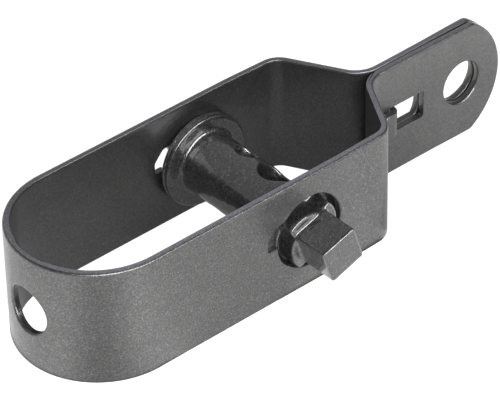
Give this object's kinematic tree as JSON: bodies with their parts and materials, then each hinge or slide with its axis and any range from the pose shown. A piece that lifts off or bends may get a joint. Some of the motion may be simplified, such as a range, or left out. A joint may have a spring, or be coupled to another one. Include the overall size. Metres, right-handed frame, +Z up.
{
  "type": "fence wire tensioner",
  "caption": "Folded steel strap with an eyed tongue and a turning cross spindle that winds up and tightens a fence wire.",
  "frame": {"origin": "middle of the tongue hole, between the two plies of the tongue, at half the strip's width", "axes": "+X from the crown towards the end of the tongue, +Y along the spindle from its square head towards its plain end, +Z up across the strip's width; the part stands on the lower edges of its strip"},
  "size_m": [0.0941, 0.0358, 0.0204],
  "materials": {
    "strap_coat": "satin anthracite powder coat with a fine metallic sparkle",
    "spindle_coat": "semi-gloss anthracite coat over a cast surface"
  },
  "bodies": {
    "strap": {"strap_body": "strap_coat"},
    "spindle": {"spindle": "spindle_coat"}
  },
  "joints": [
    {"name": "spindle_turn", "type": "hinge", "parent": "strap", "child": "spindle", "pos_m": [-0.04296, 0.00038, -0.00012], "axis": [0, 1, 0], "continuous": true}
  ]
}
